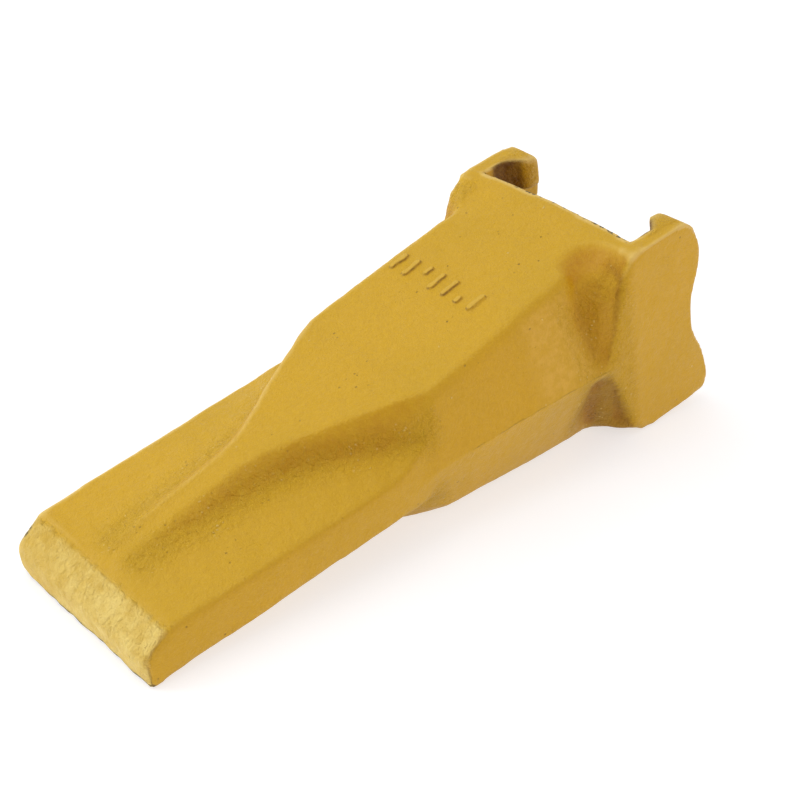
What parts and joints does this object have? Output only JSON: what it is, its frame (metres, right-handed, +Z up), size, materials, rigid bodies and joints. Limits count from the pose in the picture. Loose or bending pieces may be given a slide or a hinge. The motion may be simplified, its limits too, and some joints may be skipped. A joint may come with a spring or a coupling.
{
  "type": "excavator bucket tooth",
  "caption": "Long wedge-shaped digging tooth whose tapered twist-on socket and two hooked ears slide over an adapter nose and are held by an upright lock pin.",
  "frame": {"origin": "middle of the footprint box, on the level surface the tooth lies on", "axes": "-Y towards the digging edge, +Z up, X across; the socket axis lies in the YZ plane and rises 7.98 degrees towards +Y, because the tooth lies nose down"},
  "size_m": [0.1008, 0.2722, 0.0879],
  "materials": {
    "paint": "satin warm-yellow dip paint over a sand-cast steel skin",
    "pin_steel": "dark phosphated forged steel",
    "keeper_steel": "zinc-grey rolled steel strip",
    "elastomer": "matt black moulded rubber"
  },
  "bodies": {
    "tooth": {"tooth_casting": "paint"},
    "lock_pin": {"lock_pin_body": "pin_steel", "lock_pin_elastomer": "elastomer"},
    "keeper": {"lock_pin_keeper": "keeper_steel"}
  },
  "joints": [
    {"name": "lock_pin_drive", "type": "slide", "parent": "tooth", "child": "lock_pin", "axis": [0, -0.1389, 0.9903], "range_m": [0, 0.082]},
    {"name": "keeper_press", "type": "slide", "parent": "lock_pin", "child": "keeper", "axis": [0, 0.9903, 0.1389], "range_m": [0, 0.0014], "stiffness_N_per_m": 2500}
  ]
}
